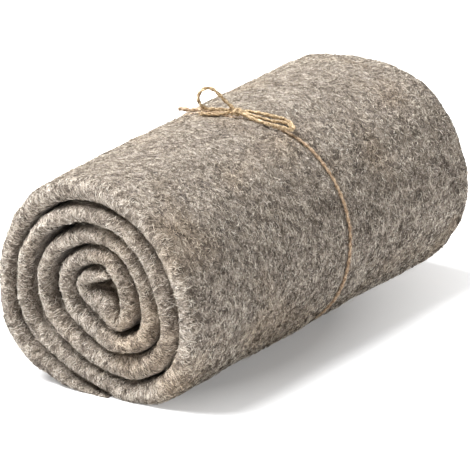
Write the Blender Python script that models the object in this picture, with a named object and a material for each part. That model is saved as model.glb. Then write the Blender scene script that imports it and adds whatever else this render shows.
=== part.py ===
"""A roll of thick grey wool felt, wound from one cut sheet and tied with jute twine in a bow.

+Y runs along the roll, +Z is up and the roll rests on a narrow flat at z = 0. Its spiral
end at the low Y side is the one that is seen. Angles on the roll's end are clock angles
in degrees: 0 towards +X, 90 straight up, growing outwards along the winding.
"""

import math

import bmesh
import bpy
import numpy as np
from mathutils import Vector

MM = 0.001
NAME = "rolled_felt"

# The sheet and the roll, in millimetres.
ROLL_LENGTH = 245.0
HALF_FULL = 5.5  # half of the felt's thickness where it lies loose
HALF_FULLER = 0.9  # and how much more or less than that it is round the roll
FULLER_ANGLE = 300.0
HALF_OUTSIDE = 4.7  # from the middle of the outermost layer to the outside
LAYER_GAP = 0.5
EDGE_RADIUS = 4.5  # the cut edges are soft and round
EDGE_STEPS = 3
EDGE_WAVE = 1.1  # how far the cut edges wander in and out
OUTSIDE_WAVE = 0.6  # how uneven the outside is
FLOOR = -51.7  # height of the flat under the roll, from the winding's middle
SHOULDER_START = 195.0  # along the roll, where its top begins to dip
SHOULDER_DIP = 0.135  # how much of its height the top has lost at the far end
SHOULDER_LEFT = (-46.0, 28.0)  # where across the roll the dip starts and over what width it grows
SHOULDER_RIGHT = (46.0, -50.0)
WAIST_ALONG = 105.0  # the band draws the roll in here
WAIST_HALF = 35.0
WAIST_REACH = 45.0
SWELL = (0.018, -0.012)  # how much wider the roll is beyond it, before and behind
LEAN_START = 140.0  # along the roll, where it begins to lean aside
LEAN_REACH = 60.0
LEAN = -0.4
FAR_BULGE = 2.0  # how much further out the seen side's upper part stands at the far end
BULGE_START = (170.0, 10.0, -35.0)  # along, across and up, where it begins
BULGE_REACH = (60.0, 30.0, 30.0)

# Where the sheet starts: folded back on itself in the middle of the roll.
# x and z from the winding's middle, and the felt's thickness there, bunched in the fold.
CORE_FOLD = (
    (6.2, 10.0, 3.0),
    (2.9, 10.2, 6.4),
    (-1.8, 9.0, 8.0),
    (-6.4, 7.8, 8.2),
    (-10.4, 3.6, 7.6),
    (-7.6, -1.6, 9.6),
    (-1.6, -3.8, 13.6),
    (3.9, -7.8, 13.4),
    (8.2, -12.6, 9.2),
    (12.6, -13.0, 8.2),
    (15.4, -9.0, 9.6),
)
# The winding: distance of the sheet's middle from the roll's middle, every 30 degrees
# from the +X side over the top, and one row for each turn.
TURNS = (
    (16.2, 16.2, 17.5, 18.7, 18.9, 20.5, 19.8, 18.5, 17.2, 19.4, 25.8, 30.4),
    (27.1, 25.7, 27.0, 28.7, 29.4, 31.5, 31.8, 30.5, 29.7, 32.9, 39.3, 41.4),
    (36.6, 35.2, 36.5, 38.7, 41.4, 43.6, 44.6, 45.8, 40.4, 43.5, 53.8, 55.2),
    (51.5, 49.0, 50.0, 52.5, 54.4, 53.6, 53.5, 55.5, 50.9, 50.3),
)
TURN_STEP = 30.0
# Where a turn lies looser or tighter on the one inside it: turned angle, width in degrees, extra gap.
SLACK = (
    (12.0, 32.0, -1.2),
    (55.0, 34.0, 1.8),
    (345.0, 40.0, 1.6),
    (540.0, 45.0, 1.6),
    (1035.0, 50.0, -1.4),
    (1130.0, 110.0, -2.2),
    (1175.0, 45.0, -0.8),
)
SHEET_END = 3 * 360 + 277.0  # the outer end is tucked under the roll
TAIL_START = SHEET_END - 67.0  # from here the sheet is pressed thinner by the roll's weight
TAIL_HALF = 1.7
RIB_DEGREES = (15.0, 12.0, 10.0, 10.0)  # spacing of the ribs that bend the sheet, for each turn
CORE_RIBS = 2  # ribs for each row of the fold in the middle
LANES = (4.2, 50.0, 85.0, 160.0, 205.0, 240.8)  # where the sheet is divided across, along the roll

# The twine.
TWINE_RADIUS = 1.0
TWIST_PITCH = 10.0  # one whole turn of the two plies
TWIST_STEPS = 6
PLY_WAIST = 0.72  # how far the strand draws in between its plies
GROOVE_FLOOR = 1.5  # half widths of the groove that the twine presses into the felt
GROOVE_RIM = 4.5
# The band round the roll: clock angle, place along the roll and how deep it presses in.
BAND = (
    (88.0, 120.0, 3.0),
    (75.0, 128.2, 2.8),
    (62.0, 133.6, 2.2),
    (48.0, 136.0, 1.0),
    (25.0, 138.5, 1.0),
    (0.0, 138.0, 1.0),
    (-30.0, 134.0, 1.2),
    (-52.0, 132.8, 2.2),
    (-66.0, 132.2, 3.3),
    (-80.0, 132.0, 2.9),
    (-110.0, 131.0, 2.6),
    (-130.0, 130.0, 1.6),
    (-180.0, 127.0, 1.0),
    (-230.0, 122.5, 1.2),
    (-255.0, 120.0, 2.4),
    (-272.0, 120.0, 3.0),
)
BAND_FLOOR_GAP = 0.05  # under the roll the band stays this much off the floor
BAND_UNDER = (-10.0, 20.0)  # and is pulled straight between these places in x, past the sheet's end
BAND_CLEAR = 0.6
BAND_POINTS = 73

# The bow. Places beside the knot are in millimetres from its middle.
KNOT_ANGLE = 88.5
KNOT_ALONG = 118.0
KNOT_LIFT = 2.6  # its middle above the felt
KNOT_RADII = (3.0, 2.6, 2.2)
KNOT_WRAPS = ((1.9, 0.9, (70.0, 0.0, 35.0)), (1.9, 0.85, (80.0, 0.0, -50.0)))  # ring, thickness, turn
LOOP_HEADING = (-0.90, -0.43)  # the way the standing loop leans, in x and y
STANDING_LOOP = (  # how far out along its heading, and how high
    (3.1, 3.7),
    (4.9, 5.3),
    (7.2, 7.8),
    (10.4, 10.7),
    (13.9, 11.7),
    (17.2, 9.4),
    (18.2, 6.0),
    (17.2, 2.9),
    (14.9, 1.1),
    (11.3, 0.7),
    (7.8, 0.8),
    (4.6, 0.8),
)
LYING_LOOP = (  # clock angle, place along the roll and height above the felt
    (86.8, 122.4, 1.9),
    (84.4, 125.4, 1.6),
    (81.4, 127.6, 1.6),
    (78.2, 129.6, 1.6),
    (75.4, 131.6, 1.6),
    (72.8, 133.6, 1.6),
    (70.4, 135.2, 1.6),
    (67.8, 136.0, 1.5),
    (65.2, 135.6, 1.45),
    (63.6, 133.6, 1.45),
    (64.4, 131.2, 1.45),
    (66.6, 128.8, 1.45),
    (69.2, 126.2, 1.45),
    (71.8, 123.6, 1.45),
    (74.8, 121.6, 1.45),
    (78.0, 120.4, 1.45),
    (81.4, 119.8, 1.6),
    (84.3, 119.2, 2.1),
)
LONG_END = (  # x, y and z from the knot
    (-3.8, -0.6, -1.1),
    (-6.8, -1.2, -1.7),
    (-10.3, -1.9, -1.75),
    (-17.5, -2.8, -1.55),
    (-22.0, -3.3, -2.5),
    (-28.8, -4.0, -3.3),
)
SHORT_END = (  # clock angle, place along the roll and height above the felt
    (90.0, 117.4, 2.2),
    (92.0, 114.6, 1.7),
    (94.5, 112.8, 1.35),
    (98.5, 111.2, 1.35),
    (103.0, 110.8, 1.35),
)
ROUTE_STEP = TWIST_PITCH / TWIST_STEPS

FELT_COLOUR = (0.262, 0.220, 0.178, 1.0)
TWINE_COLOUR = (0.610, 0.416, 0.205, 1.0)

RADII = np.array([radius for turn in TURNS for radius in turn])
CORE = np.array(CORE_FOLD)


def smooth_rows(rows, at):
    """Reads evenly numbered rows at places between them, along a smooth curve through them all."""
    rows = np.asarray(rows, float)
    padded = np.concatenate([[2 * rows[0] - rows[1]], rows, [2 * rows[-1] - rows[-2]]])
    at = np.clip(np.asarray(at, float), 0, len(rows) - 1 - 1e-9)
    first = at.astype(int)
    t = (at - first).reshape(at.shape + (1,) * (rows.ndim - 1))
    a, b, c, d = (padded[first + k] for k in range(4))
    return 0.5 * (2 * b + (c - a) * t + (2 * a - 5 * b + 4 * c - d) * t**2 + (3 * b - a - 3 * c + d) * t**3)


def outside_wave(turned, along):
    """How far the outside stands out or in, which keeps the roll from looking turned on a lathe."""
    angle = np.radians(turned)
    return OUTSIDE_WAVE / 2 * (np.sin(2.3 * angle + along * 0.045) + np.sin(1.1 * angle - along * 0.071 + 2.0))


def smooth_step(value):
    value = np.clip(value, 0, 1)
    return value * value * (3 - 2 * value)


def winding_radius(turned):
    return smooth_rows(RADII, np.asarray(turned, float) / TURN_STEP)


def winding_point(turned):
    radius = winding_radius(turned)
    angle = np.radians(turned)
    return np.stack([radius * np.cos(angle), radius * np.sin(angle)], axis=-1)


def nominal_half(turned):
    """Half of the felt's thickness before its neighbours press on it, fuller low on the seen side."""
    turned = np.asarray(turned, float)
    own = HALF_FULL + HALF_FULLER * np.cos(np.radians(turned - FULLER_ANGLE))
    pressed = smooth_step((turned - TAIL_START) / (SHEET_END - TAIL_START))
    return own + (TAIL_HALF - own) * pressed


def slack(turned):
    """How much wider than usual the gap inside a turn is."""
    wider = 0.0 * turned
    for middle, width, amount in SLACK:
        wider = wider + amount * (1 - smooth_step(np.abs(turned - middle) / width))
    return wider


def own_half(turned, side):
    """Half thickness on one side that the felt would have with nothing pressing on it."""
    return nominal_half(turned) - (slack(turned) if side < 0 else 0)


def half_towards(turned, side):
    """Half thickness outwards (side 1) or inwards (side -1), swelling into the room that is there."""
    own = own_half(turned, side)
    other = turned + side * 360
    room = np.abs(winding_radius(other) - winding_radius(turned))
    shared = np.minimum(own, room * own / (own + own_half(other, -side)) - LAYER_GAP / 2)
    if side > 0:
        return np.where(other > SHEET_END, np.minimum(own, HALF_OUTSIDE), shared)
    return np.where(other < 0, np.minimum(nominal_half(turned), HALF_OUTSIDE) - slack(turned), shared)


def ribs():
    """Where the flat sheet is bent, as numbers: below 0 in the core fold, then degrees of winding."""
    core_count = len(CORE) * CORE_RIBS
    core = np.arange(core_count) / CORE_RIBS - len(CORE)
    stops = [0.0, 360.0, 720.0, 1080.0, SHEET_END]
    turns = [
        np.linspace(low, high, round((high - low) / step), endpoint=False)
        for low, high, step in zip(stops, stops[1:], RIB_DEGREES)
    ]
    return np.concatenate([core, *turns, [SHEET_END]])


def wound_sheet():
    """The sheet's middle line at each rib, the way out from it, and its half thicknesses."""
    at = ribs()
    in_core = at < 0
    wound = np.maximum(at, 0)
    lead = np.concatenate([CORE[:, :2], winding_point(np.array([0.0, TURN_STEP, 2 * TURN_STEP]))])
    middle = np.where(in_core[:, None], smooth_rows(lead, at + len(CORE)), winding_point(wound))
    core_half = smooth_rows(np.append(CORE[:, 2], 2 * HALF_OUTSIDE) / 2, at + len(CORE))
    outward = np.where(in_core, core_half, half_towards(wound, 1))
    inward = np.where(in_core, core_half, half_towards(wound, -1))
    join = np.abs(np.arange(len(at)) - np.argmin(in_core)) <= 2 * CORE_RIBS
    for _ in range(3):
        for values in (middle, outward, inward):
            near = values.copy()
            near[1:-1] = (values[:-2] + 2 * values[1:-1] + values[2:]) / 4
            values[join] = near[join]
    along = np.gradient(middle, axis=0)
    along /= np.linalg.norm(along, axis=1)[:, None]
    out = np.stack([along[:, 1], -along[:, 0]], axis=1)
    return at, middle, out, outward, inward


def band_row(clock):
    """Place along the roll and depth of the band at a clock angle."""
    rows = np.array(BAND)[::-1]
    low = rows[0, 0]
    clock = (np.asarray(clock, float) - low) % 360 + low
    number = np.interp(clock, rows[:, 0], np.arange(len(rows)))
    return smooth_rows(rows[:, 1:], number)


def outside(clock, along, height):
    """Points off the roll's outside, at clock angles, places along the roll and heights above the felt."""
    clock = np.asarray(clock, float) % 360
    turned = np.where(clock <= SHEET_END % 360, clock + 1080, clock + 720)
    slope = winding_point(turned + 1) - winding_point(turned - 1)
    slope /= np.linalg.norm(slope, axis=-1)[:, None]
    out = np.stack([slope[:, 1], -slope[:, 0]], axis=1)
    end = winding_point(turned) + out * (half_towards(turned, 1) + height)[:, None]
    return settle(np.stack([end[:, 0], along, end[:, 1]], axis=1)), turned


def settle(points):
    """Draws the roll in at the band, dips its top towards the far end and flattens its underside."""
    across, along, high = np.array(points, float).T
    swell = np.where(along < WAIST_ALONG, *SWELL)
    swell = 1 + swell * smooth_step((np.abs(along - WAIST_ALONG) - WAIST_HALF) / WAIST_REACH)
    across, high = across * swell, high * swell
    dip = smooth_step((along - SHOULDER_START) / (ROLL_LENGTH - SHOULDER_START))
    for start, width in (SHOULDER_LEFT, SHOULDER_RIGHT):
        dip = dip * smooth_step((across - start) / width)
    high = high * np.where(high > 0, 1 - SHOULDER_DIP * dip, 1)
    across = across + LEAN * smooth_step((along - LEAN_START) / LEAN_REACH)
    bulge = FAR_BULGE
    for value, start, reach in zip((along, across, high), BULGE_START, BULGE_REACH):
        bulge = bulge * smooth_step((value - start) / reach)
    across = across + bulge
    return np.stack([across, along, np.maximum(high, FLOOR)], axis=1)


def felt_strip(rib_count):
    """The sheet before it is wound: one unit thick each way, a rib at each whole millimetre of x."""
    bm = bmesh.new()
    bmesh.ops.create_cube(bm, size=1.0)
    size = Vector(((rib_count - 1) * MM, ROLL_LENGTH * MM, 2 * HALF_OUTSIDE * MM))
    bmesh.ops.scale(bm, vec=size, verts=bm.verts)
    bmesh.ops.translate(bm, vec=(size.x / 2, size.y / 2, 0), verts=bm.verts)
    long_edges = [e for e in bm.edges if abs(e.verts[0].co.x - e.verts[1].co.x) > size.x / 2]
    bmesh.ops.bevel(
        bm,
        geom=long_edges,
        offset=EDGE_RADIUS * MM,
        segments=EDGE_STEPS,
        profile=0.5,
        affect="EDGES",
        clamp_overlap=True,
        material=-1,
    )
    cuts = [((rib * MM, 0, 0), (1, 0, 0)) for rib in range(1, rib_count - 1)]
    groove = (-GROOVE_RIM, -GROOVE_FLOOR, GROOVE_FLOOR, GROOVE_RIM)
    lanes = LANES + tuple(groove_middle() + offset for offset in groove)
    cuts += [((0, lane * MM, 0), (0, 1, 0)) for lane in lanes]
    for place, facing in cuts:
        bmesh.ops.bisect_plane(bm, geom=bm.verts[:] + bm.edges[:] + bm.faces[:], plane_co=place, plane_no=facing)
    return bm


def groove_middle():
    return sum(row[1] for row in BAND) / len(BAND)


def wind(flat):
    """Carries points of the flat sheet, in millimetres, onto the roll."""
    at, middle, out, outward, inward = wound_sheet()
    rib = np.rint(flat[:, 0]).astype(int)
    turned = at[rib]
    share = flat[:, 2] / HALF_OUTSIDE
    reach = np.where(share > 0, share * outward[rib], share * inward[rib])
    along = flat[:, 1].copy()
    exposed = smooth_step((turned + 360 - SHEET_END + 12) / 10)
    band = band_row(turned % 360)
    near_band = np.exp(-(((along - groove_middle()) / 30.0) ** 2))
    along += (band[:, 0] - groove_middle()) * near_band
    aside = np.abs(along - band[:, 0])
    pressed = 1 - np.clip((aside - GROOVE_FLOOR) / (GROOVE_RIM - GROOVE_FLOOR), 0, 1)
    loose = exposed * (1 - np.clip(pressed * 3, 0, 1)) * np.clip(share, 0, 1)
    reach = reach + loose * outside_wave(turned, along)
    reach = reach - exposed * pressed * np.where(share > 0.5, band[:, 1], 0)
    end = np.abs(along / ROLL_LENGTH * 2 - 1) ** 6 * np.sign(along - ROLL_LENGTH / 2)
    wander = np.sin(np.radians(turned) * 1.37 + 0.6) + 0.6 * np.sin(np.radians(turned) * 3.1 + end)
    along = along + end * EDGE_WAVE * 0.6 * (wander - 1.0)
    end_point = middle[rib] + out[rib] * reach[:, None]
    return settle(np.stack([end_point[:, 0], along, end_point[:, 1]], axis=1))


def felt_roll():
    at = ribs()
    bm = felt_strip(len(at))
    flat = np.array([vert.co for vert in bm.verts]) / MM
    for vert, place in zip(bm.verts, wind(flat) * MM):
        vert.co = place
    bmesh.ops.reverse_faces(bm, faces=bm.faces)  # winding turns the strip's faces inwards
    mesh = bpy.data.meshes.new("felt_roll")
    bm.to_mesh(mesh)
    bm.free()
    mesh.shade_smooth()
    return new_object("felt_roll", mesh)


def new_object(name, data):
    made = bpy.data.objects.new(name, data)
    bpy.context.scene.collection.objects.link(made)
    return made


def ply_outline():
    """The twine's section: two plies side by side, a guide for the strands."""
    curve = bpy.data.curves.new("ply_outline", "CURVE")
    curve.dimensions = "2D"
    spline = curve.splines.new("POLY")
    sides = 6
    spline.points.add(sides - 1)
    for number, point in enumerate(spline.points):
        angle = -2 * math.pi * number / sides
        radius = TWINE_RADIUS * MM * (1.0 if number % 3 == 0 else PLY_WAIST)
        point.co = (radius * math.cos(angle), radius * math.sin(angle), 0, 1)
    spline.use_cyclic_u = True
    guide = new_object("ply_outline", curve)
    guide.hide_render = True
    guide.display_type = "WIRE"
    return guide


def along_route(rows, closed):
    """Even points a twist step apart on the smooth curve through the rows."""
    rows = np.asarray(rows, float)
    if closed:
        rows = np.concatenate([rows[-3:-1], rows[:-1], rows[:3]])
        fine = smooth_rows(rows, np.linspace(2, len(rows) - 3, 4000))
    else:
        fine = smooth_rows(rows, np.linspace(0, len(rows) - 1, 4000))
    run = np.append(0, np.cumsum(np.linalg.norm(np.diff(fine, axis=0), axis=1)))
    count = round(run[-1] / ROUTE_STEP)
    if closed:
        count -= count % (TWIST_STEPS // 2)
    stops = np.linspace(0, run[-1], count + 1)
    points = np.stack([np.interp(stops, run, fine[:, axis]) for axis in range(3)], axis=1)
    return points[:-1] if closed else points


def strand(name, rows, guide, closed=False):
    """Two-ply twine along a route given in millimetres."""
    points = along_route(rows, closed)
    curve = bpy.data.curves.new(name, "CURVE")
    curve.dimensions = "3D"
    curve.twist_mode = "MINIMUM"
    curve.bevel_mode = "OBJECT"
    curve.bevel_object = guide
    curve.use_fill_caps = True
    spline = curve.splines.new("POLY")
    spline.points.add(len(points) - 1)
    for number, (point, place) in enumerate(zip(spline.points, points)):
        point.co = (*(place * MM), 1)
        point.tilt = 2 * math.pi * number / TWIST_STEPS
    spline.use_cyclic_u = closed
    return new_object(name, curve)


def on_felt(rows):
    """Route rows given by clock angle, place along the roll and height above the uneven felt."""
    clock, along, height = np.array(rows).T
    _, turned = outside(clock, along, height)
    return outside(clock, along, height + outside_wave(turned, along))[0]


def band_route():
    """The band lies in its groove, and under the roll it stays off the floor."""
    clock = np.linspace(BAND[0][0], BAND[-1][0], BAND_POINTS)
    rows = band_row(clock)
    place, _ = outside(clock, rows[:, 0], BAND_CLEAR + TWINE_RADIUS - rows[:, 1])
    lowest = FLOOR + BAND_FLOOR_GAP + TWINE_RADIUS
    under = (place[:, 2] < 0) & (place[:, 0] > BAND_UNDER[0]) & (place[:, 0] < BAND_UNDER[1])
    place[under, 2] = lowest
    place[1:-1] = (place[:-2] + 2 * place[1:-1] + place[2:]) / 4
    place[:, 2] = np.maximum(place[:, 2], lowest)
    return place


def knot_middle():
    return on_felt([(KNOT_ANGLE, KNOT_ALONG, KNOT_LIFT)])[0]


def mesh_of(curve_object):
    """The same shape as a mesh, its caps welded on."""
    evaluated = curve_object.evaluated_get(bpy.context.evaluated_depsgraph_get())
    mesh = bpy.data.meshes.new_from_object(evaluated)
    bm = bmesh.new()
    bm.from_mesh(mesh)
    bmesh.ops.remove_doubles(bm, verts=bm.verts, dist=1e-6)
    bm.to_mesh(mesh)
    bm.free()
    made = new_object(curve_object.name + "_mesh", mesh)
    made.matrix_world = curve_object.matrix_world
    bpy.data.objects.remove(curve_object)
    return made


def knot(guide):
    """A lump with two wraps over it, and the bow's short end, which lies on the felt."""
    middle = Vector(knot_middle() * MM)
    bpy.ops.mesh.primitive_uv_sphere_add(segments=12, ring_count=8, radius=1.0, location=middle)
    lump = bpy.context.object
    lump.name = "twine_knot"
    lump.scale = Vector(KNOT_RADII) * MM
    bpy.ops.object.transform_apply(location=True, rotation=False, scale=True)
    joined = []
    for ring, thickness, turn in KNOT_WRAPS:
        bpy.ops.mesh.primitive_torus_add(
            location=middle,
            rotation=[math.radians(angle) for angle in turn],
            major_radius=ring * MM,
            minor_radius=thickness * MM,
            major_segments=14,
            minor_segments=6,
        )
        joined.append(bpy.context.object)
    rows = on_felt(SHORT_END)
    joined.append(mesh_of(strand("short_end", rows, guide)))
    for other in joined:
        union = lump.modifiers.new(other.name, "BOOLEAN")
        union.operation = "UNION"
        union.object = other
        other.hide_render = True
        other.display_type = "WIRE"
    return lump, joined


def matte(name, colour, roughness):
    material = bpy.data.materials.new(name)
    material.use_nodes = True
    shader = material.node_tree.nodes["Principled BSDF"]
    shader.inputs["Base Color"].default_value = colour
    shader.inputs["Roughness"].default_value = roughness
    shader.inputs["Metallic"].default_value = 0.0
    return material


def stand_on_origin(parts, guides):
    """Moves everything so that the origin is under the middle of the felt and its band."""
    bpy.context.view_layer.update()
    graph = bpy.context.evaluated_depsgraph_get()
    places = []
    for part in parts:
        if part.name in ("felt_roll", "twine_band", "twine_knot"):
            shape = part.evaluated_get(graph).to_mesh()
            places += [part.matrix_world @ vert.co for vert in shape.vertices]
    low = Vector(min(place[axis] for place in places) for axis in range(3))
    high = Vector(max(place[axis] for place in places) for axis in range(3))
    shift = Vector((-(low.x + high.x) / 2, -(low.y + high.y) / 2, -FLOOR * MM))
    for item in parts + guides:
        item.location += shift


def main():
    for old in list(bpy.data.objects):
        bpy.data.objects.remove(old)
    guide = ply_outline()
    heading = np.array(LOOP_HEADING) / np.linalg.norm(LOOP_HEADING)
    middle = knot_middle()
    standing = [middle + [heading[0] * run, heading[1] * run, rise] for run, rise in STANDING_LOOP]
    felt = felt_roll()
    lump, joined = knot(guide)
    twine = [
        strand("twine_band", band_route(), guide, closed=True),
        lump,
        strand("twine_loop_standing", standing, guide),
        strand("twine_loop_lying", on_felt(LYING_LOOP), guide),
        strand("twine_end_long", middle + np.array(LONG_END), guide),
    ]
    felt.data.materials.append(matte("wool_felt", FELT_COLOUR, 0.95))
    jute = matte("jute_twine", TWINE_COLOUR, 0.85)
    for piece in twine:
        piece.data.materials.append(jute)
    parts = [felt, *twine]
    guides = [guide, *joined]
    stand_on_origin(parts, joined)
    for name, members in ((NAME, parts), ("guides", guides)):
        group = bpy.data.collections.new(name)
        bpy.context.scene.collection.children.link(group)
        for member in members:
            for held in list(member.users_collection):
                held.objects.unlink(member)
            group.objects.link(member)


main()
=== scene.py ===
"""A roll of thick grey wool felt tied with jute twine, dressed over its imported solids.

Tables and routes are in millimetres of the roll's own end: +X towards the side that is seen, +Y
along the roll from its spiral end, +Z up, from the middle of the winding. A clock angle is 0 at
+X and 90 on top, and a turned angle goes on growing with each turn of the sheet.
"""
import math

import bmesh
import bpy
import numpy as np
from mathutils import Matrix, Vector


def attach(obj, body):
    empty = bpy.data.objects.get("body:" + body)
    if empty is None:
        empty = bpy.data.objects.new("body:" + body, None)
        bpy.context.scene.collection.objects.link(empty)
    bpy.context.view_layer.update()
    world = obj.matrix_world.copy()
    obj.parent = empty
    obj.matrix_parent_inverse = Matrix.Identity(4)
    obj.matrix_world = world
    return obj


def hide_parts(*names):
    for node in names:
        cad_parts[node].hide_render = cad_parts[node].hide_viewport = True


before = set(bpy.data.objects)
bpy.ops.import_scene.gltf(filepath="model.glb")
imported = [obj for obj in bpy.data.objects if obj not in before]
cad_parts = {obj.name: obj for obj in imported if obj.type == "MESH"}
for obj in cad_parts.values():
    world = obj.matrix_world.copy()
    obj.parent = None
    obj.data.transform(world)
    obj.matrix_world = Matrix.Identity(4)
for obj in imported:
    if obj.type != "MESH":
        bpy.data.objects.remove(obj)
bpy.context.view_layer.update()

bl_info = {
    "name": "Felt Roll",
    "version": (1, 0, 0),
    "blender": (4, 5, 0),
    "location": "3D View > Sidebar > Felt Roll",
    "description": "Builds a tied roll of thick wool felt",
    "category": "Object",
}

MM = 0.001
END_MIDDLE = np.array([0.787, -122.492, 51.7])  # the winding's middle at the near end, in the row frame

# The sheet and the roll.
ROLL_LENGTH = 245.0
HALF_FULL = 5.5
HALF_FULLER = 0.9
FULLER_ANGLE = 300.0
HALF_OUTSIDE = 4.7
LAYER_GAP = 0.5
EDGE_RADIUS = 6.4
EDGE_WAVE = 1.1
MOUTH = 0.75  # how much thinner the felt is on each side at its cut edges, so that the turns part there
MOUTH_DEPTH = 11.0
OUTSIDE_WAVE = 0.6
WAVE_PARTS = ((2.3, 0.045, 0.0), (1.1, -0.071, 2.0))  # change round the roll and along it, and start
UNEVEN = ((0.32, 9.0, 4), (0.16, 3.4, 5))  # height, size and seed of the felt's lumps
FLOOR = -51.7
SHOULDER_START = 195.0
SHOULDER_DIP = 0.135
SHOULDER_LEFT = (-46.0, 28.0)
SHOULDER_RIGHT = (46.0, -50.0)
WAIST_ALONG = 105.0
WAIST_HALF = 35.0
WAIST_REACH = 45.0
SWELL = (0.018, -0.012)
LEAN_START = 140.0
LEAN_REACH = 60.0
LEAN = -0.4
FAR_BULGE = 2.0  # how much further out the seen side's upper part stands at the far end
BULGE_START = (170.0, 10.0, -35.0)  # along, across and up, where it begins
BULGE_REACH = (60.0, 30.0, 30.0)
# The fold in the middle: x, z and the felt's thickness.
CORE = np.array((
    (6.2, 10.0, 3.0),
    (2.9, 10.2, 6.4),
    (-1.8, 9.0, 8.0),
    (-6.4, 7.8, 8.2),
    (-10.4, 3.6, 7.6),
    (-7.6, -1.6, 9.6),
    (-1.6, -3.8, 13.6),
    (3.9, -7.8, 13.4),
    (8.2, -12.6, 9.2),
    (12.6, -13.0, 8.2),
    (15.4, -9.0, 9.6),
))
# The winding: distance of the sheet's middle from the roll's middle every 30 degrees, a row a turn.
TURNS = (
    (16.2, 16.2, 17.5, 18.7, 18.9, 20.5, 19.8, 18.5, 17.2, 19.4, 25.8, 30.4),
    (27.1, 25.7, 27.0, 28.7, 29.4, 31.5, 31.8, 30.5, 29.7, 32.9, 39.3, 41.4),
    (36.6, 35.2, 36.5, 38.7, 41.4, 43.6, 44.6, 45.8, 40.4, 43.5, 53.8, 55.2),
    (51.5, 49.0, 50.0, 52.5, 54.4, 53.6, 53.5, 55.5, 50.9, 50.3),
)
RADII = np.array([radius for turn in TURNS for radius in turn])
TURN_STEP = 30.0
# Where a turn lies looser or tighter on the one inside it: turned angle, width in degrees, extra gap.
SLACK = (
    (12.0, 32.0, -1.2),
    (55.0, 34.0, 1.8),
    (338.0, 40.0, -0.8),
    (540.0, 45.0, 1.6),
    (1035.0, 50.0, -1.4),
    (1130.0, 110.0, -2.4),
    (1170.0, 60.0, -1.9),
    (1212.0, 44.0, -1.5),
    (842.0, 35.0, -0.7),
    (665.0, 30.0, -0.9),
)
SHEET_END = 3 * 360 + 277.0
TAIL_START = SHEET_END - 67.0
TAIL_HALF = 1.7
RIB_DEGREES = (15.0, 12.0, 10.0, 10.0)
CORE_RIBS = 2
FINE_RIBS = 4  # ribs of the visible skin for each rib of the solid
# Points of the sheet's section: round each cut edge, across its outer face and across its inner one.
EDGE_LANES = 13
FACE_LANES = 72
INNER_LANES = 9
OUTER_DEGREES = 362.0  # how much of the sheet lies outermost

# The twine and its bow.
GROOVE_FLOOR = 1.3
GROOVE_RIM = 4.5
# The band: clock angle, place along the roll and how deep it presses into the felt.
BAND = np.array((
    (88.0, 120.0, 3.0),
    (75.0, 128.2, 2.8),
    (62.0, 133.6, 2.2),
    (48.0, 136.0, 1.0),
    (25.0, 138.5, 1.0),
    (0.0, 138.0, 1.0),
    (-30.0, 134.0, 1.2),
    (-52.0, 132.8, 2.2),
    (-66.0, 132.2, 3.3),
    (-80.0, 132.0, 2.9),
    (-110.0, 131.0, 2.6),
    (-130.0, 130.0, 1.6),
    (-180.0, 127.0, 1.0),
    (-230.0, 122.5, 1.8),
    (-255.0, 120.0, 2.8),
    (-272.0, 120.0, 3.0),
))
BAND_FLOOR_GAP = 0.05
BAND_UNDER = (-10.0, 20.0)
BAND_CLEAR = 0.3
BAND_POINTS = 73
BAND_STEP = 0.7
ROUTE_STEP = 0.6
TWINE_RADIUS = 1.0
TWIST_PITCH = 8.5
PLY_SIDES = 12
# Loose fibres on each part of the twine: how many, how long and how far they stand out.
BAND_HAIRS = (700, 3.6, 1.1)
CORD_HAIRS = (130, 2.8, 1.0)
KNOT_HAIRS = (120, 3.2, 1.6)
SHORT_END_HAIRS = (100, 3.0, 1.2)
TUFT_HAIRS = 60
KNOT_PLACE = (88.5, 118.0, 2.6)  # clock angle, place along the roll, height above the felt
KNOT_SIZE = (0.897, 0.78, 0.702)
LOOP_HEADING = np.array((-0.90, -0.43))
STANDING_LOOP = (  # how far out along its heading, and how high
    (0.2, 0.8),
    (1.5, 2.2),
    (3.1, 3.7),
    (4.9, 5.3),
    (7.2, 7.8),
    (10.4, 10.7),
    (13.9, 11.7),
    (17.2, 9.4),
    (18.2, 6.0),
    (17.2, 2.9),
    (14.9, 1.1),
    (11.3, 0.7),
    (7.8, 0.8),
    (4.6, 0.8),
    (1.8, 0.6),
)
LYING_LOOP = (  # clock angle, place along the roll and height above the felt
    (88.0, 119.9, 2.3),
    (86.8, 122.4, 1.9),
    (84.4, 125.4, 1.6),
    (81.4, 127.6, 1.6),
    (78.2, 129.6, 1.6),
    (75.4, 131.6, 1.6),
    (72.8, 133.6, 1.6),
    (70.4, 135.2, 1.6),
    (67.8, 136.0, 1.5),
    (65.2, 135.6, 1.45),
    (63.6, 133.6, 1.45),
    (64.4, 131.2, 1.45),
    (66.6, 129.2, 1.45),
    (69.2, 126.9, 1.45),
    (72.0, 124.5, 1.45),
    (75.0, 122.5, 1.45),
    (78.2, 121.1, 1.45),
    (81.5, 120.2, 1.6),
    (84.3, 119.2, 2.1),
    (86.9, 118.3, 2.5),
)
LYING_STRAND = (  # a loose strand of the same loop, beside its upper pass
    (87.8, 119.6, 2.2),
    (86.4, 121.2, 1.8),
    (83.0, 122.8, 1.5),
    (79.4, 124.3, 1.45),
    (76.0, 126.0, 1.45),
    (73.0, 128.0, 1.6),
    (70.2, 130.4, 2.2),
    (67.4, 132.4, 2.6),
    (65.0, 132.4, 2.4),
)
LONG_END = (  # x, y and z from the knot
    (0.9, 0.3, 0.2),
    (-3.8, -0.6, -1.1),
    (-6.8, -1.2, -1.7),
    (-10.3, -1.9, -1.75),
    (-17.5, -2.8, -1.55),
    (-22.0, -3.3, -2.5),
    (-30.2, -4.2, -3.3),
)
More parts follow.
